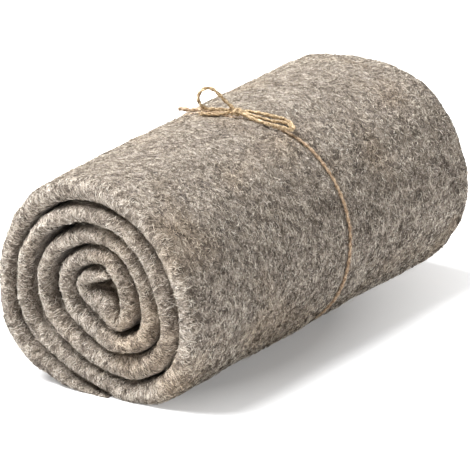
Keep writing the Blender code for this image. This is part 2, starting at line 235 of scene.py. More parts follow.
SHORT_END = (  # clock angle, place along the roll and height above the felt
    (90.0, 117.4, 2.2),
    (92.0, 114.6, 1.7),
    (94.5, 112.8, 1.35),
    (98.5, 111.2, 1.35),
    (103.0, 110.8, 1.35),
)

# The wool fibres, then the colours of the wool and the twine from dark to light.
FIBRE_FLOOR = 0.02  # the lowest that a fibre lies
FIBRE_SHADE = 0.58
LIGHTER = 0.27
DARKER = -0.28
TWINE_ASIDE = 1.8  # fibres nearer to the band's middle than this are thinned to a share
TWINE_CROSSED = 0.3
STRAY_COUNT = 900
STRAY_POINTS = 9
WOOL_CODES = ("#4A423A", "#82786C", "#B5AA9C", "#DAD0C2", "#F4EDE2")
FELT_STOPS = ((0.35, "#2A231E"), (0.445, "#675C53"), (0.54, "#A99E92"), (0.655, "#E2D8CC"))
WARM_STOPS = ((0.50, "#FFFFFF"), (0.72, "#FAF3EA"))  # from no cast to a warm one
JUTE_CODES = ("#69543E", "#A38A69", "#C9B291", "#E2CFB0")
BAND_CODES = ("#625145", "#9B826B", "#C3AA8F", "#DDC9B0")
# Sizes of the patterns. The last two are coarser than real ones, so that they show.
PATCH_SIZE = 45.45
LOCK_SIZE = 5.0
GRAIN_SIZE = 2 / 3
BUNDLE_SIZE = 2 / 3

# The photograph's view, nearly without perspective.
VIEW_RIGHT = Vector((0.8310, 0.5563, 0.0))
VIEW_UP = Vector((-0.1948, 0.2910, 0.9367))
PHOTO_SIDE = 470
PHOTO_PER_MM = 2.044
END_IN_PHOTO = (97.3, 295.8)
CAMERA_AWAY = 10.0
SENSOR_WIDTH = 36.0
AIM_HEIGHT = 0.05
FLOOR_REACH = 6.0
# The floor's own light, in a ring of this shape and shift: distances and strengths at its two rims.
GLOW_SHAPE = (1.0, 0.6, 1.0)
GLOW_SHIFT = (0.0, 0.018, 0.0)
GLOW_REACH = (0.05, 0.13)
GLOW_STRENGTH = (0.20, 0.85)
WORLD_LIGHT = 0.13
SOFT_LIGHTS = (  # name, the way it comes from, spread, strength, colour
    ("key", (-0.48, -0.22, 0.88), 38.0, 7.75, "#FDFEFF"),
    ("fill", (0.79, -0.42, 0.00), 80.0, 0.57, "#FFF6EC"),
)


# Shapes

def smooth_rows(rows, at):
    """Reads evenly numbered rows at places between them, along a smooth curve through them all."""
    rows = np.asarray(rows, float)
    padded = np.concatenate([[2 * rows[0] - rows[1]], rows, [2 * rows[-1] - rows[-2]]])
    at = np.clip(np.asarray(at, float), 0, len(rows) - 1 - 1e-9)
    first = at.astype(int)
    t = (at - first).reshape(at.shape + (1,) * (rows.ndim - 1))
    a, b, c, d = (padded[first + k] for k in range(4))
    return 0.5 * (2 * b + (c - a) * t + (2 * a - 5 * b + 4 * c - d) * t**2 + (3 * b - a - 3 * c + d) * t**3)


def smooth_step(value):
    value = np.clip(value, 0, 1)
    return value * value * (3 - 2 * value)


def unit(vectors):
    return vectors / np.maximum(np.linalg.norm(vectors, axis=-1, keepdims=True), 1e-9)


def lumps(points, size, seed):
    """A smooth uneven field from about -1 to 1 over places in millimetres, its lumps about size across."""
    chance = np.random.default_rng(seed)
    total = 0
    for _ in range(14):
        way = unit(chance.normal(size=3)) * 2 * math.pi / (size * chance.uniform(1.2, 3.0))
        total = total + np.sin(points @ way + chance.uniform(0, 2 * math.pi))
    return total / 4


def outside_wave(turned, along):
    """How far the low, uneven wave of the outside stands out."""
    angle = np.radians(turned)
    wave = sum(np.sin(turn * angle + along * pitch + start) for turn, pitch, start in WAVE_PARTS)
    return OUTSIDE_WAVE / 2 * wave


def winding_radius(turned):
    return smooth_rows(RADII, np.asarray(turned, float) / TURN_STEP)


def winding_point(turned):
    radius = winding_radius(turned)
    angle = np.radians(turned)
    return np.stack([radius * np.cos(angle), radius * np.sin(angle)], axis=-1)


def nominal_half(turned):
    """Half of the felt's thickness before its neighbours press on it, fuller low on the seen side."""
    turned = np.asarray(turned, float)
    own = HALF_FULL + HALF_FULLER * np.cos(np.radians(turned - FULLER_ANGLE))
    pressed = smooth_step((turned - TAIL_START) / (SHEET_END - TAIL_START))
    return own + (TAIL_HALF - own) * pressed


def slack(turned):
    """How much wider than usual the gap inside a turn is."""
    wider = 0.0 * turned
    for middle, width, amount in SLACK:
        wider = wider + amount * (1 - smooth_step(np.abs(turned - middle) / width))
    return wider


def own_half(turned, side):
    """Half thickness on one side that the felt would have with nothing pressing on it."""
    return nominal_half(turned) - (slack(turned) if side < 0 else 0)


def half_towards(turned, side):
    """Half thickness outwards (side 1) or inwards (side -1), swelling into the room that is there."""
    own = own_half(turned, side)
    other = turned + side * 360
    room = np.abs(winding_radius(other) - winding_radius(turned))
    shared = np.minimum(own, room * own / (own + own_half(other, -side)) - LAYER_GAP / 2)
    if side > 0:
        return np.where(other > SHEET_END, np.minimum(own, HALF_OUTSIDE), shared)
    return np.where(other < 0, np.minimum(nominal_half(turned), HALF_OUTSIDE) - slack(turned), shared)


def settle(points):
    """Draws the roll in at the band, dips its top towards the far end and flattens its underside."""
    across, along, high = (points[..., axis] for axis in range(3))
    swell = np.where(along < WAIST_ALONG, *SWELL)
    swell = 1 + swell * smooth_step((np.abs(along - WAIST_ALONG) - WAIST_HALF) / WAIST_REACH)
    across, high = across * swell, high * swell
    dip = smooth_step((along - SHOULDER_START) / (ROLL_LENGTH - SHOULDER_START))
    for start, width in (SHOULDER_LEFT, SHOULDER_RIGHT):
        dip = dip * smooth_step((across - start) / width)
    high = high * np.where(high > 0, 1 - SHOULDER_DIP * dip, 1)
    across = across + LEAN * smooth_step((along - LEAN_START) / LEAN_REACH)
    bulge = FAR_BULGE
    for value, start, reach in zip((along, across, high), BULGE_START, BULGE_REACH):
        bulge = bulge * smooth_step((value - start) / reach)
    across = across + bulge
    return np.stack([across, along, np.maximum(high, FLOOR)], axis=-1)


def band_row(clock):
    """Place along the roll and depth of the band at a clock angle."""
    rows = BAND[::-1]
    low = rows[0, 0]
    clock = (np.asarray(clock, float) - low) % 360 + low
    return smooth_rows(rows[:, 1:], np.interp(clock, rows[:, 0], np.arange(len(rows))))


def wound_sheet():
    """The sheet's middle line at fine ribs, the way out from it, and its half thicknesses."""
    core = np.arange(len(CORE) * CORE_RIBS) / CORE_RIBS - len(CORE)
    stops = [0.0, 360.0, 720.0, 1080.0, SHEET_END]
    turns = [
        np.linspace(low, high, round((high - low) / step), endpoint=False)
        for low, high, step in zip(stops, stops[1:], RIB_DEGREES)
    ]
    at = np.concatenate([core, *turns, [SHEET_END]])
    in_core = at < 0
    wound = np.maximum(at, 0)
    lead = np.concatenate([CORE[:, :2], winding_point(np.array([0.0, TURN_STEP, 2 * TURN_STEP]))])
    middle = np.where(in_core[:, None], smooth_rows(lead, at + len(CORE)), winding_point(wound))
    core_half = smooth_rows(np.append(CORE[:, 2], 2 * HALF_OUTSIDE) / 2, at + len(CORE))
    outward = np.where(in_core, core_half, half_towards(wound, 1))
    inward = np.where(in_core, core_half, half_towards(wound, -1))
    join = np.abs(np.arange(len(at)) - np.argmin(in_core)) <= 2 * CORE_RIBS
    for _ in range(3):
        for values in (middle, outward, inward):
            near = values.copy()
            near[1:-1] = (values[:-2] + 2 * values[1:-1] + values[2:]) / 4
            values[join] = near[join]
    finer = np.linspace(0, len(at) - 1, (len(at) - 1) * FINE_RIBS + 1)
    at, middle, outward, inward = (smooth_rows(values, finer) for values in (at, middle, outward, inward))
    along = unit(np.gradient(middle, axis=0))
    return at, middle, np.stack([along[:, 1], -along[:, 0]], axis=1), outward, inward


def sheet_section():
    """The sheet's closed outline across its cut: place along the roll, and share of its thickness."""
    face = np.linspace(EDGE_RADIUS, ROLL_LENGTH - EDGE_RADIUS, FACE_LANES)
    turn = np.radians(np.linspace(-90, 90, EDGE_LANES + 2))[1:-1]
    inner = np.linspace(EDGE_RADIUS, ROLL_LENGTH - EDGE_RADIUS, INNER_LANES)[::-1]
    edge = EDGE_RADIUS * (1 - np.cos(turn))
    along = np.concatenate([edge, face, ROLL_LENGTH - edge[::-1], inner])
    share = np.concatenate([np.sin(turn), np.ones(len(face)), np.sin(turn[::-1]), -np.ones(len(inner))])
    return along, share


class FeltSkin:
    """The felt's surface as a grid of ribs by section points, which the fibres lie on."""

    def __init__(self):
        turned, middle, out, outward, inward = wound_sheet()
        along, share = sheet_section()
        turned, along = turned[:, None], along[None, :] + 0 * turned[:, None]
        exposed = smooth_step((turned + 360 - SHEET_END + 12) / 10)
        to_edge = np.minimum(along, ROLL_LENGTH - along)
        parted = MOUTH * np.exp(-((to_edge / MOUTH_DEPTH) ** 2)) * (1 - exposed * (share > 0))
        reach = share * (np.where(share > 0, outward[:, None], inward[:, None]) - parted)
        band = band_row((turned % 360)[:, 0])
        band_along, band_depth = band[:, :1], band[:, 1:]
        pressed = 1 - smooth_step((np.abs(along - band_along) - GROOVE_FLOOR) / (GROOVE_RIM - GROOVE_FLOOR))
        loose = exposed * (1 - np.clip(pressed * 3, 0, 1)) * np.clip(share, 0, 1)
        reach = reach + loose * outside_wave(turned, along)
        reach = reach - exposed * pressed * np.where(share > 0.5, band_depth, 0)
        end = np.abs(along / ROLL_LENGTH * 2 - 1) ** 6 * np.sign(along - ROLL_LENGTH / 2)
        wander = np.sin(np.radians(turned) * 1.37 + 0.6) + 0.6 * np.sin(np.radians(turned) * 3.1 + end)
        along = along + end * EDGE_WAVE * 0.6 * (wander - 1.0)
        place = middle[:, None, :] + out[:, None, :] * reach[..., None]
        points = settle(np.stack([place[..., 0], along, place[..., 1]], axis=-1))
        uneven = sum(height * lumps(points, size, seed) for height, size, seed in UNEVEN)
        uneven = uneven * (1 - pressed * exposed) * (share > -0.9)
        points = points + self.facing(points) * uneven[..., None]
        points[..., 2] = np.maximum(points[..., 2], FLOOR)
        self.points = points + END_MIDDLE
        self.normals = self.facing(points)
        self.turned = turned[:, 0]
        self.share = share
        self.run = np.append(0, np.cumsum(np.linalg.norm(np.diff(middle, axis=0), axis=1)))
        self.outer_start = np.interp(SHEET_END - OUTER_DEGREES, self.turned, self.run)
        first = self.points[len(self.run) // 2]
        self.around = np.append(0, np.cumsum(np.linalg.norm(np.diff(first, axis=0), axis=1)))

    @staticmethod
    def facing(points):
        ahead = np.gradient(points, axis=0)
        beside = np.roll(points, -1, axis=1) - np.roll(points, 1, axis=1)
        return unit(np.cross(beside, ahead))

    def read(self, run, around):
        """Places and facings at distances along the sheet and round its section."""
        i = np.interp(run, self.run, np.arange(len(self.run)))
        j = np.interp(around, self.around, np.arange(len(self.around)))
        a, b = np.minimum(i.astype(int), len(self.run) - 2), np.minimum(j.astype(int), len(self.around) - 2)
        s, t = (i - a)[..., None], (j - b)[..., None]
        blended = []
        for grid in (self.points, self.normals):
            near = grid[a, b] * (1 - s) + grid[a + 1, b] * s
            far = grid[a, b + 1] * (1 - s) + grid[a + 1, b + 1] * s
            blended.append(near * (1 - t) + far * t)
        return blended


def outside(clock, along, height):
    """Points off the roll's outside, at clock angles, places along the roll and heights above the felt."""
    clock = np.asarray(clock, float) % 360
    turned = np.where(clock <= SHEET_END % 360, clock + 1080, clock + 720)
    slope = unit(winding_point(turned + 1) - winding_point(turned - 1))
    out = np.stack([slope[:, 1], -slope[:, 0]], axis=1)
    end = winding_point(turned) + out * (half_towards(turned, 1) + height)[:, None]
    return settle(np.stack([end[:, 0], along, end[:, 1]], axis=1)), turned


def on_felt(rows):
    """Route rows given by clock angle, place along the roll and height above the uneven felt."""
    clock, along, height = np.array(rows, float).T
    _, turned = outside(clock, along, height)
    return outside(clock, along, height + outside_wave(turned, along))[0]


def band_route():
    """The band's route, pressed into the felt and just clear of the floor."""
    clock = np.linspace(BAND[0, 0], BAND[-1, 0], BAND_POINTS)
    rows = band_row(clock)
    place, _ = outside(clock, rows[:, 0], BAND_CLEAR + TWINE_RADIUS - rows[:, 1])
    lowest = FLOOR + BAND_FLOOR_GAP + TWINE_RADIUS
    under = (place[:, 2] < 0) & (place[:, 0] > BAND_UNDER[0]) & (place[:, 0] < BAND_UNDER[1])
    place[under, 2] = lowest
    place[1:-1] = (place[:-2] + 2 * place[1:-1] + place[2:]) / 4
    place[:, 2] = np.maximum(place[:, 2], lowest)
    return place


def even_route(rows, step=ROUTE_STEP, closed=False):
    """Even points on the smooth curve through the rows."""
    rows = np.asarray(rows, float)
    if closed:
        rows = np.concatenate([rows[-3:-1], rows[:-1], rows[:3]])
        fine = smooth_rows(rows, np.linspace(2, len(rows) - 3, 6000))
    else:
        fine = smooth_rows(rows, np.linspace(0, len(rows) - 1, 3000))
    run = np.append(0, np.cumsum(np.linalg.norm(np.diff(fine, axis=0), axis=1)))
    stops = np.linspace(0, run[-1], round(run[-1] / step) + 1)
    points = np.stack([np.interp(stops, run, fine[:, axis]) for axis in range(3)], axis=1)
    return points[:-1] if closed else points


# Meshes

def new_object(name, mesh, material):
    mesh.materials.append(material)
    mesh.shade_smooth()
    made = bpy.data.objects.new(name, mesh)
    bpy.context.scene.collection.objects.link(made)
    return made


def skins(name, grids, material, closed=False, tone_and_painted_light_grids=None):
    """Bends one bmesh grid for each array of places, ring by ring, into a closed skin."""
    bm = bmesh.new()
    tone_and_painted_light = bm.verts.layers.float.new("tone_and_painted_light")
    for number, places in enumerate(grids):
        rings, sides = places.shape[:2]
        spans = rings if closed else rings - 1
        made = bmesh.ops.create_grid(bm, x_segments=spans, y_segments=sides, size=1)
        for vert in made["verts"]:
            i = round((vert.co.x + 1) / 2 * spans) % rings
            j = round((vert.co.y + 1) / 2 * sides) % sides
            vert.co = places[i, j] * MM
            if tone_and_painted_light_grids is not None:
                vert[tone_and_painted_light] = tone_and_painted_light_grids[number][i, j]
    bmesh.ops.remove_doubles(bm, verts=bm.verts, dist=1e-7)
    bmesh.ops.holes_fill(bm, edges=[edge for edge in bm.edges if edge.is_boundary], sides=0)
    bmesh.ops.recalc_face_normals(bm, faces=bm.faces)
    mesh = bpy.data.meshes.new(name)
    bm.to_mesh(mesh)
    bm.free()
    return new_object(name, mesh, material)


def fibres(name, centres, radii, shade, material):
    """Many tapered three-sided fibres as one mesh from arrays: centres is fibre by point by xyz."""
    count, points = centres.shape[:2]
    ahead = unit(np.gradient(centres, axis=1))
    helper = np.where(np.abs(ahead[..., 2:]) > 0.8, [1.0, 0.0, 0.0], [0.0, 0.0, 1.0])
    side = unit(np.cross(ahead, helper))
    other = np.cross(ahead, side)
    rings = points - 2
    angle = np.radians([0, 120, 240])
    around = side[:, 1:-1, None] * np.cos(angle)[:, None] + other[:, 1:-1, None] * np.sin(angle)[:, None]
    walls = centres[:, 1:-1, None] + around * radii[:, 1:-1, None, None]
    verts = np.concatenate([centres[:, :1], walls.reshape(count, rings * 3, 3), centres[:, -1:]], axis=1)
    verts[..., 2] = np.maximum(verts[..., 2], FIBRE_FLOOR)
    last = 1 + rings * 3
    faces = []
    for k in range(3):
        m = (k + 1) % 3
        faces.append((0, 1 + m, 1 + k))
        for ring in range(rings - 1):
            low, high = 1 + ring * 3, 4 + ring * 3
            faces += [(low + k, low + m, high + k), (low + m, high + m, high + k)]
        faces.append((last - 3 + k, last - 3 + m, last))
    faces = np.array(faces)
    offsets = np.arange(count)[:, None, None] * (last + 1)
    corners = (faces[None] + offsets).reshape(-1)
    mesh = bpy.data.meshes.new(name)
    mesh.vertices.add(count * (last + 1))
    mesh.vertices.foreach_set("co", (verts * MM).astype(np.float32).ravel())
    mesh.loops.add(len(corners))
    mesh.loops.foreach_set("vertex_index", corners.astype(np.int32))
    mesh.polygons.add(len(corners) // 3)
    mesh.polygons.foreach_set("loop_start", np.arange(0, len(corners), 3, dtype=np.int32))
    mesh.update(calc_edges=True)
    tone_and_painted_light = mesh.attributes.new("tone_and_painted_light", "FLOAT", "POINT")
    tone_and_painted_light.data.foreach_set("value", np.repeat(shade, last + 1).astype(np.float32))
    return new_object(name, mesh, material)


def lying_fibres(skin, chance, run, around, heading, length, bend, points, lift, tip):
    """Fibres that wander over the felt from the middle outwards, each a little off its surface."""
    count = len(run)
    steps = np.arange(points) - (points - 1) / 2
    step = (length / (points - 1))[:, None]
    curl = chance.normal(0, bend, count)[:, None] * steps + chance.normal(0, bend * 0.5, (count, points))
    angle = heading[:, None] + curl
    ahead, beside = (np.cumsum(way(angle) * step, axis=1) for way in (np.cos, np.sin))
    ahead, beside = (part - part[:, points // 2, None] for part in (ahead, beside))
    place, facing = skin.read(run[:, None] + ahead, around[:, None] + beside)
    arch = np.sin(np.pi * np.arange(points) / (points - 1))
    off = lift[:, None] * arch + tip[:, None] * (np.arange(points) / (points - 1)) ** 2 - 0.05
    return place + facing * off[..., None]


def taper(points, thickness):
    """Radii along fibres that are thickest in the middle."""
    shape = np.sin(np.pi * np.clip(np.arange(points) / (points - 1), 0.12, 0.88))
    return thickness[:, None] * shape[None] / 2


def frames_along(route, closed):
    """The way ahead and two ways aside at each point, turning as little as they can."""
    if closed:
        ahead = unit(np.roll(route, -1, axis=0) - np.roll(route, 1, axis=0))
    else:
        ahead = unit(np.gradient(route, axis=0))
    side = [unit(np.cross(ahead[0], [0.3, 0.2, 1.0]))]
    for way in ahead[1:]:
        side.append(unit(side[-1] - way * np.dot(side[-1], way)))
    side = np.array(side)
    if closed:
        left = side[-1] - ahead[0] * np.dot(side[-1], ahead[0])
        slip = math.atan2(np.dot(np.cross(side[0], unit(left)), ahead[0]), np.dot(side[0], unit(left)))
        turn = -slip * np.arange(len(route)) / len(route)
        other = np.cross(ahead, side)
        side = side * np.cos(turn)[:, None] + other * np.sin(turn)[:, None]
    return ahead, side, np.cross(ahead, side)


def plies(route, radius, closed=False, flare=None, seed=1, apart=0.42):
    """Two twisted plies, apart by a share of the radius: a grid of places and one of tones for each, with
    painted shade where the wall sinks.
    """
    chance = np.random.default_rng(seed)
    _, side, other = frames_along(route, closed)
    run = np.append(0, np.cumsum(np.linalg.norm(np.diff(route, axis=0), axis=1)))
    whole = run[-1] + np.linalg.norm(route[0] - route[-1])
    turns = round(whole / TWIST_PITCH) if closed else whole / TWIST_PITCH
    twist = 2 * math.pi * turns * run / whole
    swell = np.ones(len(route)) if flare is None else flare
    grids, tone_and_painted_light_grids = [], []
    for ply in range(2):
        angle = twist + ply * math.pi
        off = radius * apart * swell**0.3
        middle = route + side * (off * np.cos(angle))[:, None] + other * (off * np.sin(angle))[:, None]
        strands = chance.normal(size=PLY_SIDES)
        thick = radius * (0.99 - apart) * swell * (1 + 0.05 * np.sin(run / 3.1 + chance.uniform(0, 6)))
        turn = np.arange(PLY_SIDES)[None, :] * 2 * math.pi / PLY_SIDES - 1.5 * angle[:, None]
        rough = 0.085 * strands[None, :] + 0.05 * chance.normal(size=(len(route), PLY_SIDES))
        wall = thick[:, None] * (1 + rough)
        around = side[:, None] * np.cos(turn)[..., None] + other[:, None] * np.sin(turn)[..., None]
        grids.append(middle[:, None] + around * wall[..., None])
        # Each lane of a ply is drawn lighter where its wall stands out and darker where it sinks: painted
        # shade between the strands, plus a random tone that changes from ring to ring.
        tone_and_painted_light_grids.append(np.clip(0.5 + 1.6 * rough + 0.12 * chance.normal(size=(len(route), 1)), 0, 1))
    return grids, tone_and_painted_light_grids


def frayed(route, amount, start, reach):
    """How much fuller the plies get over the route's last points."""
    return 1 + amount * smooth_step((np.arange(len(route)) - len(route) + start) / reach)


def twine_hairs(name, route, count, length, stand, seed, material, end_tuft=0):
    """Loose jute fibres that leave the twine, with an optional tuft at the route's last point."""
    count += end_tuft
    chance = np.random.default_rng(seed)
    ahead, side, other = frames_along(route, False)
    pick = chance.integers(0, len(route), count)
    angle = chance.uniform(0, 2 * math.pi, count)
    out = side[pick] * np.cos(angle)[:, None] + other[pick] * np.sin(angle)[:, None]
    way = ahead[pick] * chance.choice([-1, 1], count)[:, None] + 0.5 * np.cross(ahead[pick], out)
    start = route[pick] + out * 0.8
    if end_tuft:
        tuft = chance.integers(0, count, end_tuft)
        spread = chance.normal(0, 0.45, (end_tuft, 3))
        start[tuft] = route[-1] + spread * 0.8
        way[tuft] = ahead[-1] + spread * 0.6
        out[tuft] = spread
    points = 5
    far = chance.uniform(0.4, 1.0, count) * length
    rise = chance.uniform(0.1, 1.0, count) ** 2 * stand
    if end_tuft:
        far[tuft] *= 0.35
        rise[tuft] *= 0.5
    t = np.linspace(0, 1, points)
    drift = chance.normal(0, 0.18, (count, points, 3)) * (t**1.2)[None, :, None]
    centres = start[:, None] + unit(way)[:, None] * (far[:, None] * t)[..., None]
    centres = centres + out[:, None] * (rise[:, None] * t**1.5)[..., None] + drift
    thick = taper(points, chance.uniform(0.07, 0.14, count))
    return fibres(name, centres, thick, chance.uniform(0.2, 1.0, count), material)


# Finishes

def linear(code):
    """An sRGB hex colour as Blender's linear RGBA."""
    parts = [int(code[k : k + 2], 16) / 255 for k in (1, 3, 5)]
    return [part / 12.92 if part <= 0.04045 else ((part + 0.055) / 1.055) ** 2.4 for part in parts] + [1.0]


def feed(tree, node, inputs):
    """Links or sets the inputs of a node."""
    for name, value in inputs.items():
        if isinstance(value, bpy.types.NodeSocket):
            tree.links.new(value, node.inputs[name])
        else:
            node.inputs[name].default_value = value


def add(tree, kind, inputs=None, **settings):
    """Adds one node, sets it up and feeds it."""
    node = tree.nodes.new(kind)
    for name, value in settings.items():
        setattr(node, name, value)
    feed(tree, node, inputs or {})
    return node


def noise(tree, place, size, distortion=0.0):
    """Uneven spots of about that size in millimetres."""
    inputs = {"Vector": place, "Scale": 1 / (size * MM), "Detail": 2.0, "Distortion": distortion}
    return add(tree, "ShaderNodeTexNoise", inputs).outputs["Fac"]


def ramp(tree, factor, stops):
    """The colour at a factor between stops, each a place and a colour."""
    node = add(tree, "ShaderNodeValToRGB", {"Fac": factor})
    while len(node.color_ramp.elements) < len(stops):
        node.color_ramp.elements.new(1.0)
    for element, (place, code) in zip(node.color_ramp.elements, stops):
        element.position = place
        element.color = linear(code)
    return node.outputs["Color"]


def new_material(name):
    material = bpy.data.materials.new(name)
    material.use_nodes = True
    tree = material.node_tree
    return material, tree, tree.nodes["Principled BSDF"]


def tint(tree, place, colour):
    """A faint warm cast in patches about 45 mm across, where browner fleece was laid into the felt."""
    warm = ramp(tree, noise(tree, place, PATCH_SIZE), WARM_STOPS)
    # This node's factor is its input 0, and its colours are its inputs 6 and 7 and its output 2.
    inputs = {0: 1.0, 6: colour, 7: warm}
    return add(tree, "ShaderNodeMix", inputs, data_type="RGBA", blend_type="MULTIPLY").outputs[2]


def felted_wool(name, stops):
    """Felted grey wool: undyed light and dark wool matted together, so it is speckled, dull and soft."""
    material, tree, shader = new_material(name)
    place = add(tree, "ShaderNodeTexCoord").outputs["Object"]
    # Locks of wool are about 5 mm across. Single fibres, which run every way, are too fine to show in the
    # render, so they are drawn as a grain of 0.7 mm.
    locks = noise(tree, place, LOCK_SIZE, 0.4)
    hairs = noise(tree, place, GRAIN_SIZE, 2.0)
    part = add(tree, "ShaderNodeMath", {0: locks, 1: 0.3}, operation="MULTIPLY").outputs[0]
    both = add(tree, "ShaderNodeMath", {0: hairs, 1: 0.7, 2: part}, operation="MULTIPLY_ADD").outputs[0]
    bump = add(tree, "ShaderNodeBump", {"Height": both, "Strength": 0.9, "Distance": 0.0008})
    values = {
        "Base Color": tint(tree, place, ramp(tree, both, stops)),
        "Normal": bump.outputs["Normal"],
        "Roughness": 0.95,
        "Specular IOR Level": 0.15,
        "Sheen Weight": 0.2,
        "Sheen Roughness": 0.5,
    }
    feed(tree, shader, values)
    return material


def wool_fibre(name, codes):
    """Single wool fibres from the undyed fleece, dark to cream, slightly glossy where they catch light."""
    material, tree, shader = new_material(name)
    tone_and_painted_light = add(tree, "ShaderNodeAttribute", attribute_name="tone_and_painted_light").outputs["Fac"]
    shade = ramp(tree, tone_and_painted_light, tuple(zip((0.0, 0.3, 0.6, 0.85, 1.0), codes)))
    place = add(tree, "ShaderNodeTexCoord").outputs["Object"]
    values = {"Base Color": tint(tree, place, shade), "Roughness": 0.7, "Specular IOR Level": 0.3}
    feed(tree, shader, values)
    return material


def jute(name, codes):
    """Jute yarn: coarse straw-coloured bast fibres with a dry sheen, with painted shade that makes it
    darker between the strands.
    """
    material, tree, shader = new_material(name)
    tone_and_painted_light = add(tree, "ShaderNodeAttribute", attribute_name="tone_and_painted_light").outputs["Fac"]
    place = add(tree, "ShaderNodeTexCoord").outputs["Object"]
    # Strand bundles in each ply are about 0.4 mm wide, and are drawn at 0.7 mm so that they show.
    bundles = noise(tree, place, BUNDLE_SIZE)
    # The ply tone carries painted shade between the strands; the bundles add the yarn's own uneven tone.
    blend = add(tree, "ShaderNodeMath", {0: tone_and_painted_light, 1: bundles}, operation="ADD").outputs[0]
    half = add(tree, "ShaderNodeMath", {0: blend, 1: 0.5}, operation="MULTIPLY").outputs[0]
    bump = add(tree, "ShaderNodeBump", {"Height": bundles, "Strength": 0.5, "Distance": 0.0002})
    values = {
        "Base Color": ramp(tree, half, tuple(zip((0.25, 0.42, 0.56, 0.72), codes))),
        "Normal": bump.outputs["Normal"],
        "Roughness": 0.6,
        "Specular IOR Level": 0.35,
        "Sheen Weight": 0.15,
    }
    feed(tree, shader, values)
    return material


def finish(name, maker, colours):
    """The material of that name, made when it is first asked for."""
    return bpy.data.materials.get(name) or maker(name, colours)


# Pieces

SKIN = FeltSkin()


class FeltRollSizes(bpy.types.PropertyGroup):
    fibre_count: bpy.props.IntProperty(
        name="Outside fibres",
        description="Wool fibres laid over the roll's outside, in each of its pieces",
        default=27000,
        min=100,
    )
    end_count: bpy.props.IntProperty(
        name="End fibres",
        description="Wool fibres laid over the cut edges at each end",
        default=8500,
        min=100,
    )
    fibre_length: bpy.props.FloatProperty(
        name="Fibre length",
        description="Length of a wool fibre that lies on the felt",
        default=0.0034,
        unit="LENGTH",
    )
    fibre_width: bpy.props.FloatProperty(
        name="Fibre thickness",
        description="Thickness at which a wool fibre is drawn, coarser than a real one so that it shows",
        default=0.00026,
        unit="LENGTH",
    )
    twine: bpy.props.FloatProperty(
        name="Twine thickness",
        description="Thickness of the two-ply twine",
        default=0.002,
        unit="LENGTH",
    )


class FeltRollColours(bpy.types.PropertyGroup):
    floor: bpy.props.FloatVectorProperty(
        name="Floor",
        description="Colour of the plain floor",
        subtype="COLOR",
        size=4,
        default=(0.6, 0.6, 0.6, 1.0),
    )


class FELTROLL_OT_felt(bpy.types.Operator):
    """Rolls the felt sheet up from its folded core to its tucked end"""

    bl_idname = "felt_roll.felt"
    bl_label = "Felt sheet"

    def execute(self, context):
        felt = skins("felt_sheet", [SKIN.points], finish("felted_wool", felted_wool, FELT_STOPS))
        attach(felt, "root")
        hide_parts("felt_roll")
        return {"FINISHED"}


